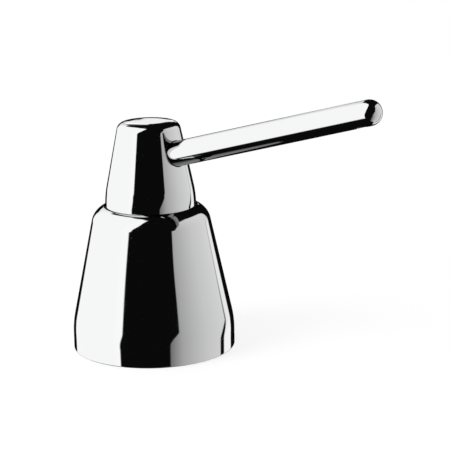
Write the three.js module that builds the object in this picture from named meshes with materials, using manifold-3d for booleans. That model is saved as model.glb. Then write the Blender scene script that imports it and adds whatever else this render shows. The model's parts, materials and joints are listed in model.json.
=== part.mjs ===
// Sink soap dispenser: a conical base on the deck, a pump head with a straight round spout,
// and the shank, fixings, pump and bottle that they need below it.
// Millimetres. +Z is up, z = 0 is the top of the deck, and the spout points towards +X.

import * as THREE from 'three';
import { mergeVertices } from 'three/addons/utils/BufferGeometryUtils.js';
import Module from 'manifold-3d';

const wasm = await Module();
wasm.setup();

// Fits
const seatGap = 0.3;
const runningGap = 0.4;
const mouthGap = 0.5;
const cutOverrun = 2;

// Facets
const outerSteps = 40;
const lowerSteps = 32;
const innerSteps = 24;
const smallSteps = 16;
const arcStepDegrees = 20;

// Base: an upright foot, a cone and a rounded shoulder, bored for the head
const baseRadius = 27.5;
const baseCornerHeight = 8.7;
const baseBlend = 28;
const shoulderRadius = 18.9;
const shoulderHeight = 49.3;
const shoulderFillet = 6.7;
const baseWall = 2;
const footWidth = 2.2;
const ledgeThickness = 2.7;

// Gasket under the base
const gasketThickness = 2;
const gasketWidth = 8.5;

// Head: a skirt in the mouth of the base, a cone and a flat top
const headRadius = 15.3;
const headCornerHeight = 52.4;
const headBlend = 28;
const headTopRadius = 10.2;
const headTopHeight = 77.4;
const headTopFillet = 2.8;
const headWall = 1.8;
const skirtDrop = 5.3;
const pressStroke = 12;
const pressMargin = 0.7;

// Core of the head: a ribbed moulding that carries the passage from stem to spout
const corePostRadius = 6.4;
const coreFloorThickness = 2.4;
const coreRibThickness = 1.8;
const coreRibs = 6;
const corePassageRadius = 1.5;
const coreSlotLength = 4.6;
const coreSlotWidth = 1.2;
const coreSlotDepth = 1.4;

// Spout
const spoutRootHeight = 64.3;
const spoutRiseDegrees = 15.4;
const spoutLength = 94.7;
const spoutRootRadius = 4.25;
const spoutTipRadius = 4.05;
const spoutTipFillet = 4;
const spoutBoreRadius = 3.1;
const spoutEndThickness = 3.2;
const spoutInset = 3;
const linerWall = 0.9;
const linerEndThickness = 1;
const linerSocketDepth = 3.6;
const outletSetback = 7.4;
const outletRadius = 1.1;
const outletWall = 0.6;

// Shank through the deck
const shankRadius = 14;
const shankBoreRadius = 11.5;
const shankTopHeight = 28;
const shankDrop = 75;
const shankFlangeRadius = 21;
const shankFlangeThickness = 3;
const shankEdge = 0.8;

// Fixings below the deck
const deckThickness = 12;
const deckWasherRadius = 25;
const deckWasherThickness = 3;
const clampRingRadius = 24;
const clampRingThickness = 1.5;
const nutHeight = 12;
const nutFlangeThickness = 2.5;
const nutFlangeRadius = 23.5;
const nutLobeRadius = 20.4;
const nutLobeDepth = 1.7;
const nutLobes = 8;
const nutLobeSteps = 6;

// Pump collar, on the shank's upper rim
const collarFlangeThickness = 3;
const collarSpigotDepth = 10;
const collarCupHeight = 5;
const collarCupWall = 1.4;
const collarNotches = 4;
const collarNotchWidth = 3;
const collarNotchDepth = 1.2;
const ringSectionRadius = 0.8;
const ringSectionSteps = 8;

// Pump cylinder
const cylinderRadius = 7.5;
const cylinderBoreRadius = 6;
const cylinderFlangeThickness = 1.8;
const cylinderFlangeWidth = 1.8;
const cylinderTaperHeight = 3.5;
const ventRadius = 0.8;
const ventDrop = 7.5;
const ballChamberRadius = 2.9;
const ballChamberDepth = 6;
const ballSeatThickness = 2;
const ballSeatRadius = 1.6;
const tailWall = 1.2;
const tailSocketDepth = 12;

// Gland, which closes the cylinder and guides the stem
const glandThickness = 2.8;
const glandBossHeight = 3;
const glandBossRadius = 6.2;
const glandBossSides = 6;
const glandPlugDepth = 5.6;

// Stem and piston
const stemRadius = 3.2;
const stemBoreRadius = 1.4;
const stemChamberRadius = 2.4;
const stemTopDrop = 4.4;
const pistonLength = 10;
const pistonFloor = 1.6;
const pistonWall = 0.9;
const pistonFlangeRadius = 5.4;
const pistonFlangeThickness = 1.5;
const sealWaist = 0.5;

// Balls of the two valves
const inletBallRadius = 2.2;
const outletBallRadius = 1.9;
const outletBallLift = 1;

// Return spring
const springRestLength = 30;
const springWireRadius = 0.5;
const springCoilRadius = 4.4;
const springTurns = 10;
const springTurnSteps = 8;
const springSides = 5;
const cageThickness = 2;
const cageHoleRadius = 1.2;
const cageHolePlaceRadius = 2;
const cageHoles = 3;

// Dip tube
const dipTubeRadius = 3.2;
const dipTubeWall = 1;
const dipTubeFloorGap = 5;
const dipTubeNotch = 5;

// Bottle
const bottleThreadLength = 17;
const bottleNeckWall = 2.8;
const bottleNeckFoot = 5;
const bottleGrips = 24;
const bottleGripWidth = 1.6;
const bottleGripHeight = 0.8;
const bottleGripMargin = 1.6;
const bottleLedge = 2.4;
const bottleLedgeThickness = 2.6;
const bottleRadius = 31;
const bottleWall = 2;
const bottleShoulderHeight = 15;
const bottleShoulderFillet = 9;
const bottleBodyHeight = 112;
const bottleFootFillet = 6;
const bottleSealThickness = 2;
const bottleSealWidth = 2.2;

// Heights of what stands on the deck, from the deck up
const ledgeBottom = gasketThickness + seatGap;
const ledgeTop = ledgeBottom + ledgeThickness;
const shankFlangeBottom = ledgeTop + seatGap;
const shankFlangeTop = shankFlangeBottom + shankFlangeThickness;
const collarBottom = shankTopHeight + seatGap;
const collarTop = collarBottom + collarFlangeThickness;
const cylinderFlangeBottom = collarTop + seatGap;
const cylinderTop = cylinderFlangeBottom + cylinderFlangeThickness;
const glandBottom = cylinderTop + seatGap;
const glandShoulder = glandBottom + glandThickness;
const glandTop = glandShoulder + glandBossHeight;
const glandPlugBottom = glandBottom - glandPlugDepth;
const skirtBottom = shoulderHeight - skirtDrop;
const coreBottom = glandTop + pressStroke + pressMargin;
const stemTop = spoutRootHeight - stemTopDrop;

// Heights inside the pump, from the gland down
const pistonTop = glandPlugBottom - seatGap;
const pistonBottom = pistonTop - pistonLength;
const springTop = pistonBottom - seatGap;
const springBottom = springTop - springRestLength;
const cageTop = springBottom - seatGap;
const cageBottom = cageTop - cageThickness;
const chamberTop = cageBottom - seatGap;
const seatTop = chamberTop - ballChamberDepth;
const seatBottom = seatTop - ballSeatThickness;
const tailBottom = seatBottom - tailSocketDepth;
const tailRadius = dipTubeRadius + seatGap + tailWall;

// Heights below the deck, from the deck down
const deckWasherTop = -deckThickness;
const deckWasherBottom = deckWasherTop - deckWasherThickness;
const clampRingTop = deckWasherBottom - seatGap;
const clampRingBottom = clampRingTop - clampRingThickness;
const nutTop = clampRingBottom - seatGap;
const shankBottom = -shankDrop;
const bottleTop = shankBottom + bottleThreadLength;
const bottleSealTop = shankBottom - seatGap;
const bottleSealBottom = bottleSealTop - bottleSealThickness;
const bottleLedgeTop = bottleSealBottom - seatGap;
const bottleLedgeBottom = bottleLedgeTop - bottleLedgeThickness;
const bottleShoulderTop = bottleLedgeTop - bottleNeckFoot;
const bottleShoulderBottom = bottleShoulderTop - bottleShoulderHeight;
const bottleBottom = bottleShoulderBottom - bottleBodyHeight;

// Radii that one piece takes from another
const mouthRadius = headRadius + mouthGap;
const threadClearRadius = shankRadius + runningGap;
const collarRadius = headRadius - headWall - runningGap;
const spigotRadius = shankBoreRadius - seatGap;
const cylinderFlangeRadius = cylinderRadius + cylinderFlangeWidth;
const collarCupRadius = cylinderFlangeRadius + seatGap;
const stemClearRadius = stemRadius + runningGap;
const linerRadius = spoutBoreRadius - seatGap;
const outletClearRadius = outletRadius + outletWall + seatGap;
const pistonWaistRadius = stemRadius + seatGap + pistonWall;
const sealRadius = cylinderBoreRadius - seatGap / 2;

// Finishes
const chrome = { color: 0xd9dbdd, roughness: 0.06, metalness: 1 };
const steel = { color: 0xb4b7ba, roughness: 0.3, metalness: 1 };
const blackRubber = { color: 0x17181a, roughness: 0.75, metalness: 0 };
const greyPlastic = { color: 0x3a3c3f, roughness: 0.5, metalness: 0 };
const whitePlastic = { color: 0xe6e6e1, roughness: 0.42, metalness: 0 };
const clearPlastic = { color: 0xdfe3e0, roughness: 0.3, metalness: 0 };

function mesh(name, shape, finish) {
  const geometry = shape instanceof THREE.BufferGeometry ? shape : geometryOf(shape);
  const piece = new THREE.Mesh(geometry, new THREE.MeshStandardMaterial(finish));
  piece.name = name;
  return piece;
}

// A closed mesh as a solid that can be cut and joined
function solidOf(geometry) {
  const bare = geometry.clone();
  bare.deleteAttribute('normal');
  bare.deleteAttribute('uv');
  const merged = mergeVertices(bare);
  const corners = merged.index.array;
  const triangles = [];
  for (let i = 0; i < corners.length; i += 3) {
    const triangle = corners.slice(i, i + 3);
    if (new Set(triangle).size === triangle.length) triangles.push(...triangle);
  }
  const vertProperties = merged.attributes.position.array;
  const triVerts = new Uint32Array(triangles);
  return new wasm.Manifold(new wasm.Mesh({ numProp: 3, vertProperties, triVerts }));
}

function geometryOf(solid) {
  const { vertProperties, triVerts } = solid.getMesh();
  const geometry = new THREE.BufferGeometry();
  geometry.setAttribute('position', new THREE.BufferAttribute(new Float32Array(vertProperties), 3));
  geometry.setIndex(new THREE.BufferAttribute(new Uint32Array(triVerts), 1));
  geometry.computeVertexNormals();
  return geometry;
}

// Points of an outline of [radius, height, fillet] corners, with an arc at each fillet
function rounded(corners) {
  const places = corners.map(([radius, height]) => new THREE.Vector2(radius, height));
  const points = [];
  corners.forEach(([, , fillet = 0], i) => {
    const corner = places[i];
    if (fillet === 0) {
      points.push(corner);
      return;
    }
    const back = places[i - 1].clone().sub(corner).normalize();
    const ahead = places[i + 1].clone().sub(corner).normalize();
    const half = Math.acos(back.dot(ahead)) / 2;
    const middle = back.clone().add(ahead).normalize().multiplyScalar(fillet / Math.sin(half));
    const centre = corner.clone().add(middle);
    const start = corner.clone().addScaledVector(back, fillet / Math.tan(half)).sub(centre);
    const turn = (Math.PI - 2 * half) * Math.sign(ahead.cross(back));
    const steps = Math.max(2, Math.ceil(Math.abs(turn) / THREE.MathUtils.degToRad(arcStepDegrees)));
    for (let step = 0; step <= steps; step += 1) {
      points.push(start.clone().rotateAround(new THREE.Vector2(), (turn * step) / steps).add(centre));
    }
  });
  return points;
}

// The same outline, moved in by the thickness of a wall
function inset(corners, wall) {
  const places = corners.map(([radius, height]) => new THREE.Vector2(radius, height));
  const sides = places.slice(1).map((place, i) => place.clone().sub(places[i]).normalize());
  return corners.map(([, , fillet = 0], i) => {
    const before = sides[Math.max(i - 1, 0)];
    const after = sides[Math.min(i, sides.length - 1)];
    const across = new THREE.Vector2(-before.y - after.y, before.x + after.x).normalize();
    const reach = wall / Math.sqrt((1 + before.dot(after)) / 2);
    const place = places[i].clone().addScaledVector(across, reach);
    return [place.x, place.y, Math.max(fillet - wall, 0)];
  });
}

// A turned piece. An outline that doesn't start on the axis is closed on itself
function turned(corners, steps) {
  const points = rounded(corners);
  if (points[0].x > 0) points.push(points[0].clone());
  return new THREE.LatheGeometry(points, steps).rotateX(Math.PI / 2);
}

function tube(outer, inner, bottom, top, steps) {
  return turned([[inner, bottom], [outer, bottom], [outer, top], [inner, top]], steps);
}

function rod(radius, bottom, top, steps) {
  return turned([[0, bottom], [radius, bottom], [radius, top], [0, top]], steps);
}

function block(length, width, bottom, top) {
  return new THREE.BoxGeometry(length, width, top - bottom).translate(0, 0, (bottom + top) / 2);
}

// A radial copy for each of a number of places round the axis
function round(count, makeOne) {
  return Array.from({ length: count }, (_, i) => makeOne((i * 2 * Math.PI) / count));
}

// The spout's own axis, from the centre of the head outwards
const spoutTilt = Math.PI / 2 - THREE.MathUtils.degToRad(spoutRiseDegrees);
const alongSpout = new THREE.Matrix4()
  .makeRotationY(spoutTilt)
  .setPosition(0, 0, spoutRootHeight);

function slanted(geometry) {
  return solidOf(geometry.applyMatrix4(alongSpout));
}

// Base
const baseOutline = [
  [baseRadius, 0],
  [baseRadius, baseCornerHeight, baseBlend],
  [shoulderRadius, shoulderHeight, shoulderFillet],
  [0, shoulderHeight],
];

function baseBell() {
  const [foot, ...above] = inset(baseOutline, baseWall);
  const inside = [[0, ledgeTop], [foot[0], ledgeTop], ...above];
  return solidOf(turned([[0, 0], ...baseOutline], outerSteps))
    .subtract(solidOf(turned(inside, outerSteps)))
    .subtract(solidOf(rod(baseRadius - footWidth, -cutOverrun, ledgeBottom, outerSteps)))
    .subtract(solidOf(rod(threadClearRadius, 0, ledgeTop + cutOverrun, lowerSteps)))
    .subtract(solidOf(rod(mouthRadius, shankTopHeight, shoulderHeight + cutOverrun, outerSteps)));
}

function baseGasket() {
  const outer = baseRadius - footWidth - seatGap;
  return tube(outer, outer - gasketWidth, 0, gasketThickness, lowerSteps);
}

function mountingShank() {
  return turned([
    [shankBoreRadius, shankBottom],
    [shankRadius - shankEdge, shankBottom],
    [shankRadius, shankBottom + shankEdge],
    [shankRadius, shankFlangeBottom],
    [shankFlangeRadius, shankFlangeBottom],
    [shankFlangeRadius, shankFlangeTop - shankEdge],
    [shankFlangeRadius - shankEdge, shankFlangeTop],
    [shankRadius, shankFlangeTop],
    [shankRadius, shankTopHeight],
    [shankBoreRadius, shankTopHeight],
  ], lowerSteps);
}

// Fixings
function deckWasher() {
  return tube(deckWasherRadius, threadClearRadius, deckWasherBottom, deckWasherTop, lowerSteps);
}

function clampRing() {
  return tube(clampRingRadius, threadClearRadius, clampRingBottom, clampRingTop, lowerSteps);
}

function lobedNut() {
  const outline = new THREE.Shape();
  const steps = nutLobes * nutLobeSteps;
  for (let step = 0; step < steps; step += 1) {
    const angle = (step * 2 * Math.PI) / steps;
    const radius = nutLobeRadius + nutLobeDepth * Math.cos(nutLobes * angle);
    const point = [radius * Math.cos(angle), radius * Math.sin(angle)];
    if (step === 0) outline.moveTo(...point);
    else outline.lineTo(...point);
  }
  const nutBottom = nutTop - nutHeight;
  const lobes = new THREE.ExtrudeGeometry(outline, { depth: nutHeight, bevelEnabled: false });
  lobes.translate(0, 0, nutBottom);
  const flange = rod(nutFlangeRadius, nutTop - nutFlangeThickness, nutTop, lowerSteps);
  const bore = rod(threadClearRadius, nutBottom - cutOverrun, nutTop + cutOverrun, lowerSteps);
  return solidOf(lobes).add(solidOf(flange)).subtract(solidOf(bore));
}

// Bottle
function bottle() {
  const neckRadius = threadClearRadius + bottleNeckWall;
  const outline = [
    [0, bottleBottom],
    [bottleRadius, bottleBottom, bottleFootFillet],
    [bottleRadius, bottleShoulderBottom, bottleShoulderFillet],
    [neckRadius, bottleShoulderTop],
    [neckRadius, bottleTop],
    [0, bottleTop],
  ];
  const inside = inset(outline, bottleWall);
  const throat = [threadClearRadius - bottleLedge, bottleLedgeBottom];
  const belly = [...inside.slice(0, 3), throat, [0, throat[1]]];
  const grips = round(bottleGrips, (angle) => {
    const length = 2 * bottleGripHeight;
    const bottom = bottleShoulderTop + bottleGripMargin;
    const grip = block(length, bottleGripWidth, bottom, bottleTop - bottleGripMargin);
    return solidOf(grip.translate(neckRadius, 0, 0).rotateZ(angle));
  });
  return grips.reduce((sum, grip) => sum.add(grip), solidOf(turned(outline, lowerSteps)))
    .subtract(solidOf(turned(belly, lowerSteps)))
    .subtract(solidOf(rod(throat[0], throat[1] - cutOverrun, bottleTop, lowerSteps)))
    .subtract(solidOf(rod(threadClearRadius, bottleLedgeTop, bottleTop + cutOverrun, lowerSteps)));
}

function bottleSeal() {
  const outer = threadClearRadius - seatGap;
  return tube(outer, outer - bottleSealWidth, bottleSealBottom, bottleSealTop, lowerSteps);
}

// Pump
const ringGrooveMiddle = collarBottom - collarSpigotDepth / 2;
const ringGrooveHalf = ringSectionRadius + seatGap;
const ringCentreRadius = spigotRadius - ringSectionRadius;

function pumpCollar() {
  const groove = ringCentreRadius - ringGrooveHalf;
  const body = turned([
    [cylinderRadius + seatGap, collarBottom - collarSpigotDepth],
    [spigotRadius, collarBottom - collarSpigotDepth],
    [spigotRadius, ringGrooveMiddle - ringGrooveHalf],
    [groove, ringGrooveMiddle - ringGrooveHalf],
    [groove, ringGrooveMiddle + ringGrooveHalf],
    [spigotRadius, ringGrooveMiddle + ringGrooveHalf],
    [spigotRadius, collarBottom],
    [collarRadius, collarBottom],
    [collarRadius, collarTop],
    [collarCupRadius + collarCupWall, collarTop],
    [collarCupRadius + collarCupWall, collarTop + collarCupHeight],
    [collarCupRadius, collarTop + collarCupHeight],
    [collarCupRadius, collarTop],
    [cylinderRadius + seatGap, collarTop],
  ], lowerSteps);
  const notches = round(collarNotches, (angle) => {
    const length = 2 * collarNotchDepth;
    const notch = block(length, collarNotchWidth, collarBottom - cutOverrun, collarTop + cutOverrun);
    return solidOf(notch.translate(collarRadius, 0, 0).rotateZ(angle));
  });
  return notches.reduce((left, notch) => left.subtract(notch), solidOf(body));
}

function collarRing() {
  return new THREE.TorusGeometry(ringCentreRadius, ringSectionRadius, ringSectionSteps, innerSteps)
    .translate(0, 0, ringGrooveMiddle);
}

function pumpCylinder() {
  const taperBottom = chamberTop - cylinderTaperHeight;
  const socket = dipTubeRadius + seatGap;
  const body = turned([
    [socket, tailBottom],
    [tailRadius, tailBottom],
    [tailRadius, taperBottom],
    [cylinderRadius, chamberTop],
    [cylinderRadius, cylinderFlangeBottom],
    [cylinderFlangeRadius, cylinderFlangeBottom],
    [cylinderFlangeRadius, cylinderTop],
    [cylinderBoreRadius, cylinderTop],
    [cylinderBoreRadius, chamberTop],
    [ballChamberRadius, chamberTop],
    [ballChamberRadius, seatTop],
    [ballSeatRadius, seatTop],
    [ballSeatRadius, seatBottom],
    [socket, seatBottom],
  ], innerSteps);
  const vent = rod(ventRadius, 0, cylinderRadius + cutOverrun, smallSteps);
  vent.rotateY(Math.PI / 2).translate(0, 0, pistonTop - ventDrop);
  return solidOf(body).subtract(solidOf(vent));
}

function ballCage() {
  const disc = rod(cylinderBoreRadius - seatGap, cageBottom, cageTop, innerSteps);
  const holes = round(cageHoles, (angle) => {
    const hole = rod(cageHoleRadius, cageBottom - cutOverrun, cageTop + cutOverrun, smallSteps);
    return solidOf(hole.translate(cageHolePlaceRadius, 0, 0).rotateZ(angle));
  });
  return holes.reduce((left, hole) => left.subtract(hole), solidOf(disc));
}

function gland() {
  const plug = cylinderBoreRadius - seatGap;
  const disc = turned([
    [0, glandPlugBottom],
    [plug, glandPlugBottom],
    [plug, glandBottom],
    [cylinderFlangeRadius, glandBottom],
    [cylinderFlangeRadius, glandShoulder],
    [0, glandShoulder],
  ], innerSteps);
  const boss = rod(glandBossRadius, glandShoulder - seatGap, glandTop, glandBossSides);
  const bore = rod(stemClearRadius, glandPlugBottom - cutOverrun, glandTop + cutOverrun, innerSteps);
  return solidOf(disc).add(solidOf(boss)).subtract(solidOf(bore));
}

class Helix extends THREE.Curve {
  getPoint(share, target = new THREE.Vector3()) {
    const angle = share * springTurns * 2 * Math.PI;
    const height = springBottom + springWireRadius + share * (springRestLength - 2 * springWireRadius);
    return target.set(springCoilRadius * Math.cos(angle), springCoilRadius * Math.sin(angle), height);
  }
}

// Least distance between the wire's surfaces, over points that are at least half a turn apart
function leastCoilGap(helix) {
  const places = helix.getPoints(springTurns * springTurnSteps);
  const halfTurn = springTurnSteps / 2;
  let least = Infinity;
  places.forEach((place, i) => {
    places.slice(i + halfTurn).forEach((other) => {
      least = Math.min(least, place.distanceTo(other) - 2 * springWireRadius);
    });
  });
  return least;
}

function returnSpring() {
  const helix = new Helix();
  console.log(`return_spring: least gap between coils ${leastCoilGap(helix).toFixed(2)} mm`);
  const wire = round(springSides, (angle) => (
    new THREE.Vector2(springWireRadius * Math.cos(angle), springWireRadius * Math.sin(angle))
  ));
  return new THREE.ExtrudeGeometry(new THREE.Shape(wire), {
    steps: springTurns * springTurnSteps,
    bevelEnabled: false,
    extrudePath: helix,
  });
}

function dipTube() {
  const bottom = bottleBottom + bottleWall + dipTubeFloorGap;
  const body = tube(dipTubeRadius, dipTubeRadius - dipTubeWall, bottom, seatBottom - seatGap, smallSteps);
  const notch = new THREE.BoxGeometry(dipTubeNotch, 4 * dipTubeRadius, dipTubeNotch);
  notch.rotateY(Math.PI / 4).translate(0, 0, bottom);
  return solidOf(body).subtract(solidOf(notch));
}

// Stem and piston
const stemSeat = stemTop - 2 * outletBallRadius - outletBallLift;
const stemBottom = pistonBottom + pistonFloor + seatGap;

function pumpStem() {
  return turned([
    [stemBoreRadius, stemBottom],
    [stemRadius, stemBottom],
    [stemRadius, stemTop],
    [stemChamberRadius, stemTop],
    [stemChamberRadius, stemSeat],
    [stemBoreRadius, stemSeat],
  ], innerSteps);
}

function piston() {
  const lowerFlange = pistonBottom + pistonFlangeThickness;
  const upperFlange = pistonTop - pistonFlangeThickness;
  return turned([
    [stemBoreRadius, pistonBottom],
    [pistonFlangeRadius, pistonBottom],
    [pistonFlangeRadius, lowerFlange],
    [pistonWaistRadius, lowerFlange],
    [pistonWaistRadius, upperFlange],
    [pistonFlangeRadius, upperFlange],
    [pistonFlangeRadius, pistonTop],
    [stemRadius + seatGap, pistonTop],
    [stemRadius + seatGap, pistonBottom + pistonFloor],
    [stemBoreRadius, pistonBottom + pistonFloor],
  ], innerSteps);
}

function pistonSeal() {
  const inner = pistonWaistRadius + seatGap / 2;
  const bottom = pistonBottom + pistonFlangeThickness + seatGap;
  const top = pistonTop - pistonFlangeThickness - seatGap;
  const lip = (top - bottom) / 4;
  return turned([
    [inner, bottom],
    [sealRadius, bottom],
    [sealRadius, bottom + lip / 2],
    [sealRadius - sealWaist, bottom + lip],
    [sealRadius - sealWaist, top - lip],
    [sealRadius, top - lip / 2],
    [sealRadius, top],
    [inner, top],
  ], innerSteps);
}

// A ball stands just clear of the edge of its seat
function valveBall(radius, seatRadius, seatHeight) {
  const height = seatHeight + Math.sqrt(radius * radius - seatRadius * seatRadius) + seatGap;
  return new THREE.SphereGeometry(radius, smallSteps, smallSteps / 2).translate(0, 0, height);
}

// Head
const headOutline = [
  [headRadius, skirtBottom],
  [headRadius, headCornerHeight, headBlend],
  [headTopRadius, headTopHeight, headTopFillet],
  [0, headTopHeight],
];

// How far along the spout its root starts: inside the wall of the head
const headTaper = (headRadius - headTopRadius) / (headTopHeight - headCornerHeight);
const headRadiusAtSpout = headRadius - headTaper * (spoutRootHeight - headCornerHeight);
const spoutStart = headRadiusAtSpout - headWall - spoutInset;

function headCap() {
  const inside = inset(headOutline, headWall);
  const hole = rod(spoutRootRadius + seatGap, spoutStart, spoutLength, innerSteps);
  const mouth = skirtBottom - cutOverrun;
  const open = [[0, mouth], [inside[0][0], mouth], ...inside.slice(1)];
  return solidOf(turned([[0, skirtBottom], ...headOutline], outerSteps))
    .subtract(solidOf(turned(open, outerSteps)))
    .subtract(slanted(hole));
}

function headCore() {
  const outline = inset(headOutline, headWall + seatGap);
  const envelope = solidOf(turned([[0, skirtBottom], ...outline], outerSteps));
  const top = headTopHeight - headWall - seatGap;
  const ribs = round(coreRibs, (angle) => {
    const rib = block(headRadius, coreRibThickness, coreBottom, top + cutOverrun);
    return solidOf(rib.translate(headRadius / 2, 0, 0).rotateZ(angle));
  });
  const floor = rod(headRadius, coreBottom, coreBottom + coreFloorThickness, outerSteps);
  const post = rod(corePostRadius, coreBottom, top, innerSteps);
  const socket = rod(stemRadius + seatGap, coreBottom - cutOverrun, stemTop + seatGap, innerSteps);
  const slot = block(coreSlotLength, coreSlotWidth, stemTop, stemTop + seatGap + coreSlotDepth);
  const riser = rod(corePassageRadius, stemTop, spoutRootHeight, smallSteps);
  const passage = rod(corePassageRadius, 0, spoutStart, smallSteps);
  const linerSocket = rod(linerRadius + seatGap, linerStart - seatGap, spoutLength, innerSteps);
  const spoutRecess = rod(spoutRootRadius + 2 * seatGap, spoutStart - seatGap, spoutLength, innerSteps);
  return ribs.reduce((sum, rib) => sum.add(rib), solidOf(post).add(solidOf(floor)))
    .intersect(envelope)
    .subtract(solidOf(socket))
    .subtract(solidOf(slot))
    .subtract(solidOf(riser))
    .subtract(slanted(passage))
    .subtract(slanted(linerSocket))
    .subtract(slanted(spoutRecess));
}

// Spout, with its axis on z until its group turns it
const linerStart = spoutStart - linerSocketDepth;
const boreEnd = spoutLength - spoutEndThickness;
const outletPlace = spoutLength - outletSetback;

function outletHole(start) {
  const hole = rod(outletClearRadius, start, spoutRootRadius + cutOverrun, smallSteps);
  return solidOf(hole.rotateY(Math.PI / 2).translate(0, 0, outletPlace));
}

function spout() {
  const body = turned([
    [0, spoutStart],
    [spoutRootRadius, spoutStart],
    [spoutTipRadius, spoutLength, spoutTipFillet],
    [0, spoutLength],
  ], innerSteps);
  const bore = rod(spoutBoreRadius, spoutStart - cutOverrun, boreEnd, innerSteps);
  return solidOf(body).subtract(solidOf(bore)).subtract(outletHole(0));
}

function spoutLiner() {
  const end = boreEnd - seatGap;
  const bore = rod(linerRadius - linerWall, linerStart - cutOverrun, end - linerEndThickness, smallSteps);
  return solidOf(rod(linerRadius, linerStart, end, smallSteps))
    .subtract(solidOf(bore))
    .subtract(outletHole(0));
}

function outletNozzle() {
  const inner = linerRadius - linerWall;
  const body = tube(outletRadius + outletWall, outletRadius, inner, spoutTipRadius - seatGap, smallSteps);
  return body.rotateY(Math.PI / 2).translate(0, 0, outletPlace);
}

const dispenser = new THREE.Group();

dispenser.add(
  mesh('base_bell', baseBell(), chrome),
  mesh('base_gasket', baseGasket(), blackRubber),
  mesh('mounting_shank', mountingShank(), greyPlastic),
  mesh('deck_washer', deckWasher(), blackRubber),
  mesh('clamp_ring', clampRing(), steel),
  mesh('lobed_nut', lobedNut(), greyPlastic),
  mesh('bottle_seal', bottleSeal(), blackRubber),
  mesh('bottle', bottle(), clearPlastic),
);

dispenser.add(
  mesh('pump_collar', pumpCollar(), whitePlastic),
  mesh('collar_o_ring', collarRing(), blackRubber),
  mesh('pump_cylinder', pumpCylinder(), whitePlastic),
  mesh('ball_cage', ballCage(), whitePlastic),
  mesh('stem_gland', gland(), whitePlastic),
  mesh('return_spring', returnSpring(), steel),
  mesh('dip_tube', dipTube(), clearPlastic),
  mesh('pump_stem', pumpStem(), whitePlastic),
  mesh('piston', piston(), whitePlastic),
  mesh('piston_seal', pistonSeal(), blackRubber),
  mesh('inlet_ball', valveBall(inletBallRadius, ballSeatRadius, seatTop), steel),
  mesh('outlet_ball', valveBall(outletBallRadius, stemBoreRadius, stemSeat), steel),
);

dispenser.add(mesh('head_cap', headCap(), chrome), mesh('head_core', headCore(), whitePlastic));

const spoutGroup = new THREE.Group();
spoutGroup.position.z = spoutRootHeight;
spoutGroup.rotation.y = spoutTilt;
spoutGroup.add(
  mesh('spout', spout(), chrome),
  mesh('spout_liner', spoutLiner(), whitePlastic),
  mesh('outlet_nozzle', outletNozzle(), greyPlastic),
);
dispenser.add(spoutGroup);

export default dispenser;
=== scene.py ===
# %% [markdown]
# # A sink soap dispenser
# A chrome dispenser that stands on a sink's deck: a conical base, a conical pump head and a straight round
# spout above, and the shank, fixings, pump and bottle below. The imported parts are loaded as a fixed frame,
# and each piece is modelled again around them with smooth surfaces and real finishes.

# %% Load the frame
import json
import math

import bpy
from mathutils import Matrix, Vector

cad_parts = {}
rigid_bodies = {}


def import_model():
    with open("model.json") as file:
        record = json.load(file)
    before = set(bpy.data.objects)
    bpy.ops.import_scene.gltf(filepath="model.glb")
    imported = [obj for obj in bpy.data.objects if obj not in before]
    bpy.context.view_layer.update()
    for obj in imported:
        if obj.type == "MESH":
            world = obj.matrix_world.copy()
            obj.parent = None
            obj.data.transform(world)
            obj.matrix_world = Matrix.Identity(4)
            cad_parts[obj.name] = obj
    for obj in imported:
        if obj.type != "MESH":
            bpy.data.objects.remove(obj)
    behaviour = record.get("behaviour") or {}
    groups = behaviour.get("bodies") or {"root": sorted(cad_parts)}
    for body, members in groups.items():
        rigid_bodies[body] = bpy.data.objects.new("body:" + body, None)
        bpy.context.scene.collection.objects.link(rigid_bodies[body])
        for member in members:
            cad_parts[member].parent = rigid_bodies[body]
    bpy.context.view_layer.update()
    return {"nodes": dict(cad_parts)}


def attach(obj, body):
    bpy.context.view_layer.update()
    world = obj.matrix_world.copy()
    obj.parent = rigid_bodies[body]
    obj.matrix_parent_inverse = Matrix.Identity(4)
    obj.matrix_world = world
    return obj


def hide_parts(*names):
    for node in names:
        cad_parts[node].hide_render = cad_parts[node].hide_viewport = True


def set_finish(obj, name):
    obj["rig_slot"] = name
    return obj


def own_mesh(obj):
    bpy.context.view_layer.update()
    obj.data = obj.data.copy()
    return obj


for leftover in list(bpy.data.objects):
    bpy.data.objects.remove(leftover)
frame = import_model()
MM = 0.001

# %% [markdown]
# The camera comes first, because everything is seen through it. It stands 41 degrees to the side of the
# spout, a little above the head, and looks slightly down. A long lens keeps the edges of the cones nearly
# parallel.

# %% Camera
CAMERA_AZIMUTH = math.radians(40.8)
CAMERA_REACH = 546.3 * MM
CAMERA_HEIGHT = 174.8 * MM
LOOK_DOWN = math.radians(13.744)
LOOK_RIGHT = math.radians(2.611)
CAMERA_ROLL = math.radians(-1.0)
SENSOR_WIDTH = 36.0
LENS = 132.96
QUARTER_TURN = math.pi / 2


def add_object(name, data):
    made = bpy.data.objects.new(name, data)
    bpy.context.scene.collection.objects.link(made)
    return made


def add_camera():
    data = bpy.data.cameras.new("photo_camera")
    data.sensor_width = SENSOR_WIDTH
    data.lens = LENS
    camera = add_object("photo_camera", data)
    side = Matrix.Rotation(CAMERA_AZIMUTH, 4, "Z")
    stand = Matrix.Translation((0, -CAMERA_REACH, CAMERA_HEIGHT))
    pan = Matrix.Rotation(-LOOK_RIGHT, 4, "Z")
    tilt = Matrix.Rotation(QUARTER_TURN - LOOK_DOWN, 4, "X")
    roll = Matrix.Rotation(CAMERA_ROLL, 4, "Z")
    camera.matrix_world = side @ stand @ pan @ tilt @ roll
    bpy.context.scene.camera = camera
    return camera


camera = add_camera()
print("camera at", [round(value, 4) for value in camera.matrix_world.translation])

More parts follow.
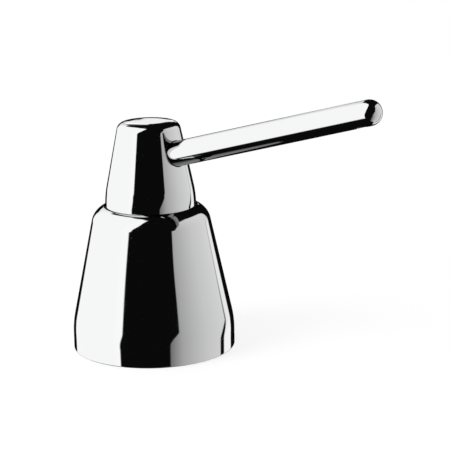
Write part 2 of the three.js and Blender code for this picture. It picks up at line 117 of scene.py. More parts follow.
# %% [markdown]
# Nearly every piece of a dispenser is turned: an outline that runs once round an axis. So one helper draws
# an outline as a chain of edges, rounds the corners that have a fillet with a vertex bevel, and spins it.
# The outline is a list of (radius, height, fillet) in millimetres, walked up the outside and down the
# inside. A quality is the number of steps round the axis and the turn that one segment of a fillet makes.

# %% Turned pieces
FINE = (192, math.radians(2))
MEDIUM = (96, math.radians(8))
PLAIN = (48, math.radians(15))
COARSE = (16, math.radians(30))
TOUCH = 0.001 * MM


def set_mode(mode):
    bpy.ops.object.mode_set(mode=mode)


def deselect_all():
    if bpy.context.mode != "OBJECT":
        set_mode("OBJECT")
    bpy.ops.object.select_all(action="DESELECT")


def pick(piece):
    deselect_all()
    piece.select_set(True)
    bpy.context.view_layer.objects.active = piece


def start_chain(name, start):
    """A new object in edit mode that holds one vertex."""
    deselect_all()
    bpy.ops.mesh.primitive_plane_add(size=MM, location=start)
    piece = bpy.context.object
    piece.name = piece.data.name = name
    bpy.ops.object.transform_apply(location=True, rotation=False, scale=False)
    set_mode("EDIT")
    bpy.ops.mesh.merge(type="CENTER")
    return piece


def select_vertices(piece, wanted):
    """Selects the vertices for which wanted(place) is true, in edit mode."""
    bpy.ops.mesh.select_mode(type="VERT")
    bpy.ops.mesh.select_all(action="DESELECT")
    set_mode("OBJECT")
    for vertex in piece.data.vertices:
        vertex.select = wanted(vertex.co)
    set_mode("EDIT")


def near(*places, reach=TOUCH):
    """A test for select_vertices: is the vertex at one of the places?"""
    return lambda co: any((co - place).length < reach for place in places)


def draw_chain(piece, places, fillets, arc_step):
    """Extrudes from the first place to the last, then rounds the corners that have a fillet."""
    for before, here in zip(places, places[1:]):
        bpy.ops.mesh.extrude_vertices_move(TRANSFORM_OT_translate={"value": here - before})
    for index, fillet in enumerate(fillets):
        if fillet > 0:
            before, corner, after = places[index - 1], places[index], places[(index + 1) % len(places)]
            turn = math.pi - (before - corner).angle(after - corner)
            select_vertices(piece, near(corner))
            bpy.ops.mesh.bevel(
                offset=fillet * math.tan(turn / 2),
                segments=max(2, round(turn / arc_step)),
                affect="VERTICES",
            )


def divide_side(piece, bottom, top, radius, cuts):
    """Divides the straight side that lies between two heights and outside a radius, in millimetres."""
    set_mode("OBJECT")
    corners = [vertex.co.copy() for vertex in piece.data.vertices]
    set_mode("EDIT")
    side = [co for co in corners if bottom * MM < co.z < top * MM and co.x > radius * MM]
    low, high = min(side, key=lambda co: co.z), max(side, key=lambda co: co.z)
    select_vertices(piece, near(low, high))
    bpy.ops.mesh.subdivide(number_cuts=cuts)


def close_chain(piece, first, last):
    select_vertices(piece, near(first, last))
    bpy.ops.mesh.edge_face_add()


def merge_doubles(reach):
    bpy.ops.mesh.select_all(action="SELECT")
    bpy.ops.mesh.remove_doubles(threshold=reach)


def face_outwards():
    bpy.ops.mesh.select_all(action="SELECT")
    bpy.ops.mesh.normals_make_consistent(inside=False)


def spin_chain(steps):
    """Spins the chain once round the axis, merges its seam and turns the faces outwards."""
    bpy.ops.mesh.select_all(action="SELECT")
    bpy.ops.mesh.spin(steps=steps, angle=2 * math.pi, center=(0, 0, 0), axis=(0, 0, 1))
    merge_doubles(TOUCH / 2)
    bpy.ops.mesh.delete_loose()
    face_outwards()


def smooth(piece, degrees=35):
    pick(piece)
    bpy.ops.object.shade_smooth_by_angle(angle=math.radians(degrees))
    return piece


def outline(corners):
    """Places and fillets, in metres, of (radius, height, fillet) corners in millimetres."""
    places = [Vector((corner[0] * MM, 0, corner[1] * MM)) for corner in corners]
    fillets = [corner[2] * MM if len(corner) > 2 else 0 for corner in corners]
    return places, fillets


def turned(name, corners, quality=MEDIUM, divided=None):
    """A solid of revolution. An outline that starts off the axis closes on itself.

    divided, if given, is what divide_side takes after the piece.
    """
    steps, arc_step = quality
    places, fillets = outline(corners)
    piece = start_chain(name, places[0])
    draw_chain(piece, places, fillets, arc_step)
    if divided:
        divide_side(piece, *divided)
    if places[0].x > 0:
        close_chain(piece, places[0], places[-1])
    spin_chain(steps)
    return smooth(piece)


pieces = []


def finish_piece(piece, body, slot, *nodes):
    """Says what the piece rides on, which finish it takes and which plain solids it stands for."""
    deselect_all()
    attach(piece, body)
    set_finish(piece, slot)
    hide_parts(*nodes)
    pieces.append(piece)
    print(f"{piece.name}: {len(piece.data.polygons)} faces")
    return piece


print("steps round the axis:", [quality[0] for quality in (FINE, MEDIUM, PLAIN, COARSE)])

# %% [markdown]
# The base is one turned shell of chromed metal: an upright foot, a cone that leans in by 12 degrees, a round
# shoulder, and a bored mouth. The shoulder's fillet is wider than the rim, so the fillet is drawn to its
# full width first, and the outline is then cut where the bore passes through it.

# %% Base
FOOT_RADIUS = 27.5
FOOT_CORNER_HEIGHT = 8.7
FOOT_BLEND = 28
SHOULDER_RADIUS = 18.9
SHOULDER_HEIGHT = 49.3
SHOULDER_FILLET = 6.7
BASE_WALL = 2
MOUTH_RADIUS = 15.8
MOUTH_DEPTH = 2.6
MOUTH_EDGE = 0.25
EDGE_BREAK = 0.35
RECESS_RADIUS = 25.3
RECESS_DEPTH = 2.3
LEDGE_TOP = 5.0
THREAD_HOLE_RADIUS = 14.4


def base_bell():
    steps, arc_step = FINE
    places, fillets = outline([
        (FOOT_RADIUS - 2 * EDGE_BREAK, 0),
        (FOOT_RADIUS, 0, EDGE_BREAK),
        (FOOT_RADIUS, FOOT_CORNER_HEIGHT, FOOT_BLEND),
        (SHOULDER_RADIUS, SHOULDER_HEIGHT, SHOULDER_FILLET),
        (MOUTH_RADIUS - SHOULDER_FILLET, SHOULDER_HEIGHT),
    ])
    piece = start_chain("base", places[0])
    draw_chain(piece, places, fillets, arc_step)
    bpy.ops.mesh.select_all(action="SELECT")
    bpy.ops.mesh.bisect(plane_co=(MOUTH_RADIUS * MM, 0, 0), plane_no=(1, 0, 0), clear_inner=True)
    set_mode("OBJECT")
    rim = min((vertex.co.copy() for vertex in piece.data.vertices), key=lambda co: co.x)
    set_mode("EDIT")
    inner, inner_fillets = outline([
        (MOUTH_RADIUS, rim.z / MM),
        (MOUTH_RADIUS, SHOULDER_HEIGHT - MOUTH_DEPTH),
        (FOOT_RADIUS - BASE_WALL, LEDGE_TOP),
        (THREAD_HOLE_RADIUS, LEDGE_TOP),
        (THREAD_HOLE_RADIUS, RECESS_DEPTH),
        (RECESS_RADIUS, RECESS_DEPTH),
        (RECESS_RADIUS, 0),
    ])
    select_vertices(piece, near(rim))
    draw_chain(piece, inner, inner_fillets, arc_step)
    close_chain(piece, inner[-1], places[0])
    select_vertices(piece, near(rim))
    bpy.ops.mesh.bevel(offset=MOUTH_EDGE * MM, segments=4, affect="VERTICES")
    spin_chain(steps)
    return smooth(piece)


finish_piece(base_bell(), "base", "chrome", "base_bell")

# %% [markdown]
# Holes and unions are made with the Boolean modifier: a second object is modelled where the hole is, and the
# modifier takes it out of the piece. The tool object is then removed. A narrow Bevel modifier afterwards
# breaks the new edges, because no moulded or machined edge is perfectly sharp.

# %% Cutting and softening


def cut(piece, tool, operation="DIFFERENCE"):
    """Takes the tool out of the piece, or adds it, and removes the tool."""
    pick(piece)
    change = piece.modifiers.new("cut", "BOOLEAN")
    change.operation = operation
    change.solver = "EXACT"
    change.object = tool
    bpy.ops.object.modifier_apply(modifier=change.name)
    bpy.data.objects.remove(tool)
    return piece


def soften(piece, width=0.2, segments=2, degrees=40):
    """Breaks the edges that turn through more than so many degrees. The width is in millimetres."""
    pick(piece)
    edges = piece.modifiers.new("edges", "BEVEL")
    edges.width = width * MM
    edges.segments = segments
    edges.limit_method = "ANGLE"
    edges.angle_limit = math.radians(degrees)
    edges.use_clamp_overlap = True
    bpy.ops.object.modifier_apply(modifier=edges.name)
    return smooth(piece)


def drill(radius, bottom, top, quality=PLAIN):
    """A plain rod on the axis, as the tool for a hole."""
    return turned("drill", [(0, bottom), (radius, bottom), (radius, top), (0, top)], quality)


def place(piece, location=(0, 0, 0), rotation=(0, 0, 0)):
    """Moves and turns a piece and applies that to its mesh. The location is in millimetres."""
    pick(piece)
    piece.rotation_euler = rotation
    piece.location = Vector(location) * MM
    bpy.ops.object.transform_apply(location=True, rotation=True, scale=False)
    return piece


print("ready:", [helper.__name__ for helper in (cut, soften, drill, place)])

# %% [markdown]
# The spout is turned on its own axis, standing upright at the origin, and then laid along its slope. Its
# outlet is drilled in the underside near the tip, so that the soap falls straight down. A rod this long is
# divided along its side first, so that the hole's edge doesn't spoil the mirror all along it.

# %% Spout
SPOUT_ROOT_HEIGHT = 64.3
SPOUT_RISE = math.radians(15.4)
SPOUT_START = 8.07
SPOUT_LENGTH = 94.7
SPOUT_ROOT_RADIUS = 4.25
SPOUT_TIP_RADIUS = 4.05
SPOUT_TIP_FILLET = 4
SPOUT_BORE = 3.1
SPOUT_END = 3.2
OUTLET_PLACE = 87.3
OUTLET_HOLE_RADIUS = 2.0
OUTLET_HOLE_REACH = 8
SPOUT_CUTS = 60


def along_spout(piece):
    """Lays an upright piece along the spout's axis."""
    return place(piece, (0, 0, SPOUT_ROOT_HEIGHT), (0, QUARTER_TURN - SPOUT_RISE, 0))


def at_outlet(piece):
    """Lays an upright piece across the spout, where its outlet is."""
    return place(piece, (0, 0, OUTLET_PLACE), (0, QUARTER_TURN, 0))


def outlet_hole():
    return at_outlet(drill(OUTLET_HOLE_RADIUS, 0, OUTLET_HOLE_REACH))


def spout_tube():
    side = (SPOUT_START - 1, SPOUT_LENGTH - SPOUT_TIP_FILLET + 0.05, SPOUT_BORE + 0.5, SPOUT_CUTS)
    tube = turned("spout_tube", [
        (SPOUT_BORE, SPOUT_START),
        (SPOUT_ROOT_RADIUS, SPOUT_START),
        (SPOUT_TIP_RADIUS, SPOUT_LENGTH, SPOUT_TIP_FILLET),
        (0, SPOUT_LENGTH),
        (0, SPOUT_LENGTH - SPOUT_END),
        (SPOUT_BORE, SPOUT_LENGTH - SPOUT_END),
    ], FINE, side)
    return along_spout(smooth(cut(tube, outlet_hole())))


finish_piece(spout_tube(), "head", "chrome", "spout")

# %% [markdown]
# The head is a thinner shell of the same kind as the base. Its skirt is straight, because it slides in the
# base's mouth, and only above the rim does it lean in, by the same 12 degrees. Its top isn't quite flat: it
# was polished on a soft wheel, so it falls by a third of a millimetre towards the rim. The spout's hole is
# cut with a hair's breadth of room, which shows as the fine line of the soldered joint.

# %% Head
SKIRT_RADIUS = 15.3
SKIRT_BOTTOM = 44.0
SKIRT_CORNER_HEIGHT = 52.4
SKIRT_BLEND = 28
HEAD_TOP_RADIUS = 10.2
HEAD_TOP = 77.4
HEAD_TOP_FILLET = 2.8
RIM_SPREAD = 0.07
RIM_DROP = 0.33
RIM_EASE = 0.15
CROWN_RADIUS = 6.3
CROWN_FILLET = 23
HEAD_WALL = 1.8
HEAD_CUTS = 30
JOINT_ROOM = 0.22
HOLE_END = 24


def head_cap():
    side = (SKIRT_CORNER_HEIGHT + 2.5, HEAD_TOP - HEAD_TOP_FILLET + 0.6, HEAD_TOP_RADIUS, HEAD_CUTS)
    shell = turned("head", [
        (SKIRT_RADIUS - HEAD_WALL, SKIRT_BOTTOM),
        (SKIRT_RADIUS, SKIRT_BOTTOM, EDGE_BREAK),
        (SKIRT_RADIUS, SKIRT_CORNER_HEIGHT, SKIRT_BLEND),
        (HEAD_TOP_RADIUS + RIM_SPREAD, HEAD_TOP - RIM_DROP, HEAD_TOP_FILLET - RIM_EASE),
        (CROWN_RADIUS, HEAD_TOP, CROWN_FILLET),
        (0, HEAD_TOP),
        (0, HEAD_TOP - HEAD_WALL),
        (HEAD_TOP_RADIUS - HEAD_WALL, HEAD_TOP - HEAD_WALL),
        (SKIRT_RADIUS - HEAD_WALL, SKIRT_CORNER_HEIGHT),
    ], FINE, side)
    hole = along_spout(drill(SPOUT_ROOT_RADIUS + JOINT_ROOM, SPOUT_START, HOLE_END, MEDIUM))
    return smooth(cut(shell, hole))


finish_piece(head_cap(), "head", "chrome", "head_cap")

# %% [markdown]
# The shank is the threaded tube that goes through the deck. Its thread is a real helix: the Screw modifier
# sweeps the section of one ridge round the axis while it climbs by the pitch. The bar that this gives is
# open at its two ends. Each end gets its own face, since a union needs a closed tool, and the bar is then
# joined to the shank with a Boolean union.

# %% Shank
SHANK_RADIUS = 14
SHANK_BORE = 11.5
SHANK_TOP = 28
SHANK_BOTTOM = -75
FLANGE_RADIUS = 21
FLANGE_BOTTOM = 5.3
FLANGE_TOP = 8.3
THREAD_PITCH = 3
THREAD_DEPTH = 0.7
THREAD_TURNS = 23
THREAD_START = 1.6
THREAD_OVERLAP = 0.3
CORE_RADIUS = SHANK_RADIUS - THREAD_DEPTH


def thread_ridge():
    """One helical ridge, from just above the shank's lower end up to the deck."""
    bottom = SHANK_BOTTOM + THREAD_START
    section, fillets = outline([
        (CORE_RADIUS - THREAD_OVERLAP, bottom),
        (CORE_RADIUS, bottom + 0.1),
        (SHANK_RADIUS, bottom + 0.7),
        (SHANK_RADIUS, bottom + 1.3),
        (CORE_RADIUS, bottom + 1.9),
        (CORE_RADIUS - THREAD_OVERLAP, bottom + 2.0),
    ])
    ridge = start_chain("ridge", section[0])
    draw_chain(ridge, section, fillets, MEDIUM[1])
    close_chain(ridge, section[0], section[-1])
    pick(ridge)
    sweep = ridge.modifiers.new("sweep", "SCREW")
    sweep.angle = 2 * math.pi
    sweep.screw_offset = THREAD_PITCH * MM
    sweep.iterations = THREAD_TURNS
    sweep.steps = sweep.render_steps = MEDIUM[0] // 2
    bpy.ops.object.modifier_apply(modifier=sweep.name)
    set_mode("EDIT")
    for turns in (0, THREAD_TURNS):
        climb = Vector((0, 0, turns * THREAD_PITCH * MM))
        select_vertices(ridge, near(*(corner + climb for corner in section), reach=10 * TOUCH))
        bpy.ops.mesh.edge_face_add()
    face_outwards()
    set_mode("OBJECT")
    return ridge


def shank_tube():
    tube = turned("shank", [
        (SHANK_BORE, SHANK_BOTTOM),
        (CORE_RADIUS, SHANK_BOTTOM, 0.5),
        (CORE_RADIUS, -1),
        (SHANK_RADIUS, -0.3),
        (SHANK_RADIUS, FLANGE_BOTTOM),
        (FLANGE_RADIUS, FLANGE_BOTTOM),
        (FLANGE_RADIUS, FLANGE_TOP, 0.8),
        (SHANK_RADIUS, FLANGE_TOP),
        (SHANK_RADIUS, SHANK_TOP, 0.3),
        (SHANK_BORE, SHANK_TOP, 0.3),
    ])
    return smooth(cut(tube, thread_ridge(), "UNION"), 30)


shank = finish_piece(shank_tube(), "base", "grey_plastic", "mounting_shank")

# %% [markdown]
# Seals and washers are cut from sheet or moulded, so they are flat rings with slightly rounded edges. Each
# still has what makes it read as the real thing: the gasket has a raised bead that seals, the deck washer
# has grooves that grip, and the slip ring has a stamped, rolled edge.

# %% Gasket, washer and slip ring
GASKET_INNER = 16.5
GASKET_OUTER = 25.0
GASKET_BOTTOM = 0.2
GASKET_TOP = 2
WASHER_RADIUS = 25
WASHER_TOP = -12
WASHER_BOTTOM = -15
RING_RADIUS = 24
RING_TOP = -15.3
RING_BOTTOM = -16.8
GROOVE_RADII = (22.0, 18.5)
GROOVE_SIZE = 0.4


def groove(radius):
    """The corners of a groove in the washer's top, walked inwards."""
    return [
        (radius + GROOVE_SIZE, WASHER_TOP, 0.1),
        (radius, WASHER_TOP - GROOVE_SIZE, 0.1),
        (radius - GROOVE_SIZE, WASHER_TOP, 0.1),
    ]


finish_piece(turned("gasket", [
    (GASKET_INNER, GASKET_BOTTOM),
    (GASKET_INNER + 3, GASKET_BOTTOM, 0.2),
    (GASKET_INNER + 3.6, 0, 0.2),
    (GASKET_INNER + 4.9, 0, 0.2),
    (GASKET_INNER + 5.5, GASKET_BOTTOM, 0.2),
    (GASKET_OUTER, GASKET_BOTTOM, 0.3),
    (GASKET_OUTER, GASKET_TOP, 0.3),
    (GASKET_INNER, GASKET_TOP, 0.3),
]), "base", "black_rubber", "base_gasket")

washer = finish_piece(turned("deck_washer_ring", [
    (THREAD_HOLE_RADIUS, WASHER_BOTTOM),
    (WASHER_RADIUS, WASHER_BOTTOM, 0.5),
    (WASHER_RADIUS, WASHER_BOTTOM + 1.2, 0.15),
    (WASHER_RADIUS - GROOVE_SIZE, WASHER_BOTTOM + 1.5, 0.15),
    (WASHER_RADIUS, WASHER_BOTTOM + 1.8, 0.15),
    (WASHER_RADIUS, WASHER_TOP, 0.5),
    *groove(GROOVE_RADII[0]),
    *groove(GROOVE_RADII[1]),
    (THREAD_HOLE_RADIUS, WASHER_TOP, 0.4),
]), "clamp", "black_rubber", "deck_washer")

slip_ring = finish_piece(turned("slip_ring", [
    (THREAD_HOLE_RADIUS, RING_BOTTOM),
    (RING_RADIUS, RING_BOTTOM, 0.25),
    (RING_RADIUS, RING_TOP, 0.6),
    (THREAD_HOLE_RADIUS, RING_TOP, 0.3),
]), "clamp", "steel", "clamp_ring")

# %% [markdown]
# The nut is turned by hand, so it has finger grips. It starts as a turned drum with a flange. Eight rods
# set round it cut the scallops, the bore goes through, and the edges are softened as in a plastic moulding.
# Every tool reaches past the surface that it cuts, so that no thin skin is left.

# %% Lobed nut
NUT_TOP = -17.1
NUT_BOTTOM = -29.1
NUT_FLANGE_RADIUS = 23.5
NUT_FLANGE_BOTTOM = -19.6
NUT_RADIUS = 22.1
NUT_LOBES = 8
SCALLOP_RADIUS = 6.5
SCALLOP_DEPTH = 3.4
PAST = 3


def around(count, angle_shift=0.0):
    """Equal angles once round the axis."""
    return [angle_shift + index * 2 * math.pi / count for index in range(count)]


def at_angle(radius, angle, height=0.0):
    return radius * math.cos(angle), radius * math.sin(angle), height


def lobed_nut():
    drum = turned("nut", [
        (0, NUT_BOTTOM),
        (NUT_RADIUS, NUT_BOTTOM, 1.5),
        (NUT_RADIUS, NUT_FLANGE_BOTTOM - 0.6),
        (NUT_FLANGE_RADIUS, NUT_FLANGE_BOTTOM),
        (NUT_FLANGE_RADIUS, NUT_TOP, 0.5),
        (0, NUT_TOP),
    ])
    for angle in around(NUT_LOBES, math.pi / NUT_LOBES):
        scallop = drill(SCALLOP_RADIUS, NUT_BOTTOM - PAST, NUT_FLANGE_BOTTOM - 0.5)
        reach = NUT_RADIUS - SCALLOP_DEPTH + SCALLOP_RADIUS
        cut(drum, place(scallop, at_angle(reach, angle)))
    cut(drum, drill(THREAD_HOLE_RADIUS, NUT_BOTTOM - PAST, NUT_TOP + PAST, MEDIUM))
    return soften(drum, 0.35, 3)


nut = finish_piece(lobed_nut(), "nut", "grey_plastic", "lobed_nut")

# %% [markdown]
# The bottle is blow-moulded and hollow. Its outline goes up the outside and down the inside, so one spin
# gives both walls. The neck has upright ribs for the hand that screws it on: one is turned, copied round the
# neck, and all are joined to the bottle by a single union, which is cleaner than one union for each. The
# bottom is pushed in a little, as on every bottle, so that it stands steady.

# %% Bottle
NECK_TOP = -58
NECK_RADIUS = 17.2
LEDGE_RADIUS = 12.0
LEDGE_UPPER = -77.6
LEDGE_LOWER = -80.2
SHOULDER_TOP = -82.6
SHOULDER_BOTTOM = -97.6
BOTTLE_BOTTOM = -209.6
BOTTLE_RADIUS = 31
BOTTLE_WALL = 2
BOTTLE_DISH = 1.6
DISH_RADIUS = 18
STAND_RADIUS = 24.5
GRIP_RIBS = 24
GRIP_SIZE = 0.8
GRIP_FILLET = 0.6
GRIP_TOP = NECK_TOP - 1.4
GRIP_BOTTOM = SHOULDER_TOP + 2
BOTTLE_SEAL_INNER = 11.9
BOTTLE_SEAL_OUTER = 14.1
BOTTLE_SEAL_TOP = -75.3
BOTTLE_SEAL_BOTTOM = -77.3


def grip_ribs():
    """One rounded rod, and copies of it round the neck, joined into one tool."""
    rod = turned("rib", [
        (0, GRIP_BOTTOM),
        (GRIP_SIZE, GRIP_BOTTOM, GRIP_FILLET),
        (GRIP_SIZE, GRIP_TOP, GRIP_FILLET),
        (0, GRIP_TOP),
    ], COARSE)
    ribs = []
    for angle in around(GRIP_RIBS):
        rib = add_object("rib", rod.data.copy())
        ribs.append(place(rib, at_angle(NECK_RADIUS, angle)))
    bpy.data.objects.remove(rod)
    pick(ribs[0])
    for rib in ribs:
        rib.select_set(True)
    bpy.ops.object.join()
    return ribs[0]


def bottle_shell():
    inside = BOTTLE_RADIUS - BOTTLE_WALL
    floor = BOTTLE_BOTTOM + BOTTLE_WALL
    shell = turned("bottle_shell", [
        (0, BOTTLE_BOTTOM + BOTTLE_DISH),
        (DISH_RADIUS, BOTTLE_BOTTOM + BOTTLE_DISH, 4),
        (STAND_RADIUS, BOTTLE_BOTTOM, 1.5),
        (BOTTLE_RADIUS, BOTTLE_BOTTOM, 6),
        (BOTTLE_RADIUS, SHOULDER_BOTTOM, 9),
        (NECK_RADIUS, SHOULDER_TOP, 1.2),
        (NECK_RADIUS, NECK_TOP, 0.7),
        (THREAD_HOLE_RADIUS, NECK_TOP, 0.7),
        (THREAD_HOLE_RADIUS, LEDGE_UPPER),
        (LEDGE_RADIUS, LEDGE_UPPER, 0.5),
        (LEDGE_RADIUS, LEDGE_LOWER, 0.5),
        (inside, SHOULDER_BOTTOM - 1.5, 7),
        (inside, floor, 4),
        (STAND_RADIUS, floor, 1.5),
        (DISH_RADIUS, floor + BOTTLE_DISH, 4),
        (0, floor + BOTTLE_DISH),
    ])
    return smooth(cut(shell, grip_ribs(), "UNION"))


bottle = finish_piece(bottle_shell(), "bottle_body", "clear_plastic", "bottle")

bottle_gasket = finish_piece(turned("bottle_gasket", [
    (BOTTLE_SEAL_INNER, BOTTLE_SEAL_BOTTOM),
    (BOTTLE_SEAL_OUTER, BOTTLE_SEAL_BOTTOM, 0.4),
    (BOTTLE_SEAL_OUTER, BOTTLE_SEAL_TOP, 0.4),
    (BOTTLE_SEAL_INNER, BOTTLE_SEAL_TOP, 0.4),
]), "bottle_ring", "black_rubber", "bottle_seal")

# %% [markdown]
# The pump hangs in the shank by its collar. The collar is turned with a groove for the O-ring and a cup for
# the pump's flange, and four notches in its rim give the fingers a hold when the pump is lifted out.

# %% Pump collar and O-ring
COLLAR_RADIUS = 13.1
SPIGOT_RADIUS = 11.2
COLLAR_BOTTOM = 28.3
COLLAR_TOP = 31.3
CUP_TOP = 36.3
CUP_OUTER = 11.0
CUP_INNER = 9.6
COLLAR_HOLE = 7.8
SPIGOT_BOTTOM = 18.3
NOTCH_SIZE = (2.4, 3, 7)
O_RING_HEIGHT = 23.3
O_RING_RADIUS = 10.4
O_RING_SECTION = 0.8
O_RING_BED = 9.3
O_RING_ROOM = 1.1
NEARLY = 0.999


def block(size, location):
    """A plain box, as the tool for a slot. Sizes and location are in millimetres."""
    deselect_all()
    bpy.ops.mesh.primitive_cube_add(size=1, location=Vector(location) * MM, scale=Vector(size) * MM)
    bpy.ops.object.transform_apply(location=True, rotation=False, scale=True)
    return bpy.context.object


def pump_collar():
    bed_bottom, bed_top = O_RING_HEIGHT - O_RING_ROOM, O_RING_HEIGHT + O_RING_ROOM
    collar = turned("collar", [
        (COLLAR_HOLE, SPIGOT_BOTTOM),
        (SPIGOT_RADIUS, SPIGOT_BOTTOM, 0.6),
        (SPIGOT_RADIUS, bed_bottom, 0.15),
        (O_RING_BED, bed_bottom),
        (O_RING_BED, bed_top),
        (SPIGOT_RADIUS, bed_top, 0.15),
        (SPIGOT_RADIUS, COLLAR_BOTTOM),
        (COLLAR_RADIUS, COLLAR_BOTTOM, 0.4),
        (COLLAR_RADIUS, COLLAR_TOP, 0.4),
        (CUP_OUTER, COLLAR_TOP),
        (CUP_OUTER, CUP_TOP, 0.4),
        (CUP_INNER, CUP_TOP, 0.4),
        (CUP_INNER, COLLAR_TOP),
        (COLLAR_HOLE, COLLAR_TOP),
    ])
    for angle in around(4):
        notch = block(NOTCH_SIZE, (0, 0, (COLLAR_BOTTOM + COLLAR_TOP) / 2))
        cut(collar, place(notch, at_angle(COLLAR_RADIUS, angle), (0, 0, angle)))
    return soften(collar, 0.15)


finish_piece(pump_collar(), "pump", "white_plastic", "pump_collar")


def o_ring():
    """A ring of round section: a square whose four corners are rounded until they nearly meet."""
    reach = O_RING_SECTION * NEARLY
    inner, outer = O_RING_RADIUS - O_RING_SECTION, O_RING_RADIUS + O_RING_SECTION
    bottom, top = O_RING_HEIGHT - O_RING_SECTION, O_RING_HEIGHT + O_RING_SECTION
    return turned("o_ring", [
        (inner, O_RING_HEIGHT),
        (inner, bottom, reach),
        (outer, bottom, reach),
        (outer, top, reach),
        (inner, top, reach),
    ], (MEDIUM[0], PLAIN[1]))


finish_piece(o_ring(), "pump", "black_rubber", "collar_o_ring")

# %% [markdown]
# The pump's body is a long cylinder with a narrow tail for the dip tube. Inside are the chamber of the inlet
# ball and its seat. A small vent high in the wall lets air into the bottle as soap leaves it.

# %% Pump cylinder, ball cage and gland
CYLINDER_RADIUS = 7.5
CYLINDER_BORE = 6
RIM_RADIUS = 9.3
TAIL_RADIUS = 4.7
TAIL_BOTTOM = -35.1
CHAMBER_TOP = -15.1
SEAT_TOP = -21.1
SEAT_BOTTOM = -23.1
SEAT_RADIUS = 1.6
SOCKET_RADIUS = 3.5
CHAMBER_RADIUS = 2.9
RIM_BOTTOM = 31.6
RIM_TOP = 33.4
VENT_RADIUS = 0.8
VENT_HEIGHT = 20.3
PLUG_RADIUS = 5.7
PLUG_BOTTOM = 28.1
CAGE_TOP = -12.8
CAGE_BOTTOM = -14.8
CAGE_HOLE_RADIUS = 1.2
GLAND_BOTTOM = 33.7
GLAND_SHOULDER = 36.5
GLAND_TOP = 39.5
STEM_HOLE_RADIUS = 3.6
HEXAGON_RADIUS = 6.2


def pump_cylinder():
    body = turned("cylinder", [
        (SOCKET_RADIUS, TAIL_BOTTOM),
        (TAIL_RADIUS, TAIL_BOTTOM, 0.3),
        (TAIL_RADIUS, -18.6, 1),
        (CYLINDER_RADIUS, CHAMBER_TOP, 1),
        (CYLINDER_RADIUS, RIM_BOTTOM),
        (RIM_RADIUS, RIM_BOTTOM, 0.2),
        (RIM_RADIUS, RIM_TOP, 0.3),
        (CYLINDER_BORE, RIM_TOP, 0.3),
        (CYLINDER_BORE, CHAMBER_TOP, 0.2),
        (CHAMBER_RADIUS, CHAMBER_TOP, 0.3),
        (CHAMBER_RADIUS, SEAT_TOP, 0.2),
        (SEAT_RADIUS, SEAT_TOP),
        (SEAT_RADIUS, SEAT_BOTTOM),
        (SOCKET_RADIUS, SEAT_BOTTOM),
    ])
    vent = place(drill(VENT_RADIUS, 4, 10), (0, 0, VENT_HEIGHT), (0, QUARTER_TURN, 0))
    return smooth(cut(body, vent))


def ball_cage():
    disc = turned("cage", [
        (0, CAGE_BOTTOM),
        (PLUG_RADIUS, CAGE_BOTTOM, 0.2),
        (PLUG_RADIUS, CAGE_TOP, 0.2),
        (0, CAGE_TOP),
    ], PLAIN)
    for angle in around(3):
        hole = drill(CAGE_HOLE_RADIUS, CAGE_BOTTOM - 1, CAGE_TOP + 1)
        cut(disc, place(hole, at_angle(2, angle)))
    return soften(disc, 0.12)


def gland():
    disc = turned("gland", [
        (0, PLUG_BOTTOM),
        (PLUG_RADIUS, PLUG_BOTTOM, 0.3),
        (PLUG_RADIUS, GLAND_BOTTOM),
        (RIM_RADIUS, GLAND_BOTTOM, 0.3),
        (RIM_RADIUS, GLAND_SHOULDER, 0.4),
        (0, GLAND_SHOULDER),
    ])
    deselect_all()
    bottom = GLAND_SHOULDER - 0.5
    bpy.ops.mesh.primitive_cylinder_add(
        vertices=6,
        radius=HEXAGON_RADIUS * MM,
        depth=(GLAND_TOP - bottom) * MM,
        location=(0, 0, (bottom + GLAND_TOP) / 2 * MM),
    )
    hexagon = bpy.context.object
    bpy.ops.object.transform_apply(location=True, rotation=True, scale=True)
    cut(disc, hexagon, "UNION")
    cut(disc, drill(STEM_HOLE_RADIUS, 26, 42, MEDIUM))
    return soften(disc, 0.2)


cylinder = finish_piece(pump_cylinder(), "pump", "white_plastic", "pump_cylinder")
finish_piece(ball_cage(), "pump", "white_plastic", "ball_cage")
finish_piece(gland(), "pump", "white_plastic", "stem_gland")

# %% [markdown]
# The spring is a wire on a curve: points on a helix, whose pitch is narrow at both ends, where the last coil
# lies flat, and wide between them. The curve's own bevel gives the wire its thickness, and the curve is then
# made a mesh with its own data.

# %% Return spring
SPRING_TOP = 17.5
SPRING_BOTTOM = -12.5
SPRING_RADIUS = 4.4
WIRE_RADIUS = 0.5
SPRING_TURNS = 10
POINTS_A_TURN = 24
END_PITCH_SHARE = 0.42


def spring_height(share):
    """Height along the spring, with slow ends. The blend of a straight line and a smooth step does that."""
    eased = share * share * (3 - 2 * share)
    return (1 - END_PITCH_SHARE) * eased + END_PITCH_SHARE * share


def return_spring():
    count = SPRING_TURNS * POINTS_A_TURN + 1
    length = SPRING_TOP - SPRING_BOTTOM - 2 * WIRE_RADIUS
    data = bpy.data.curves.new("spring", "CURVE")
    data.dimensions = "3D"
    data.bevel_depth = WIRE_RADIUS * MM
    data.bevel_resolution = 3
    data.use_fill_caps = True
    wire = data.splines.new("POLY")
    wire.points.add(count - 1)
    for index, point in enumerate(wire.points):
        share = index / (count - 1)
        height = SPRING_BOTTOM + WIRE_RADIUS + spring_height(share) * length
        x, y, z = at_angle(SPRING_RADIUS, share * SPRING_TURNS * 2 * math.pi, height)
        point.co = (x * MM, y * MM, z * MM, 1)
    pick(add_object("spring", data))
    bpy.ops.object.convert(target="MESH")
    spring = bpy.context.object
    set_mode("EDIT")
    merge_doubles(TOUCH)
    face_outwards()
    return smooth(spring, 50)


spring = finish_piece(return_spring(), "pump", "steel", "return_spring")
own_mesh(spring)

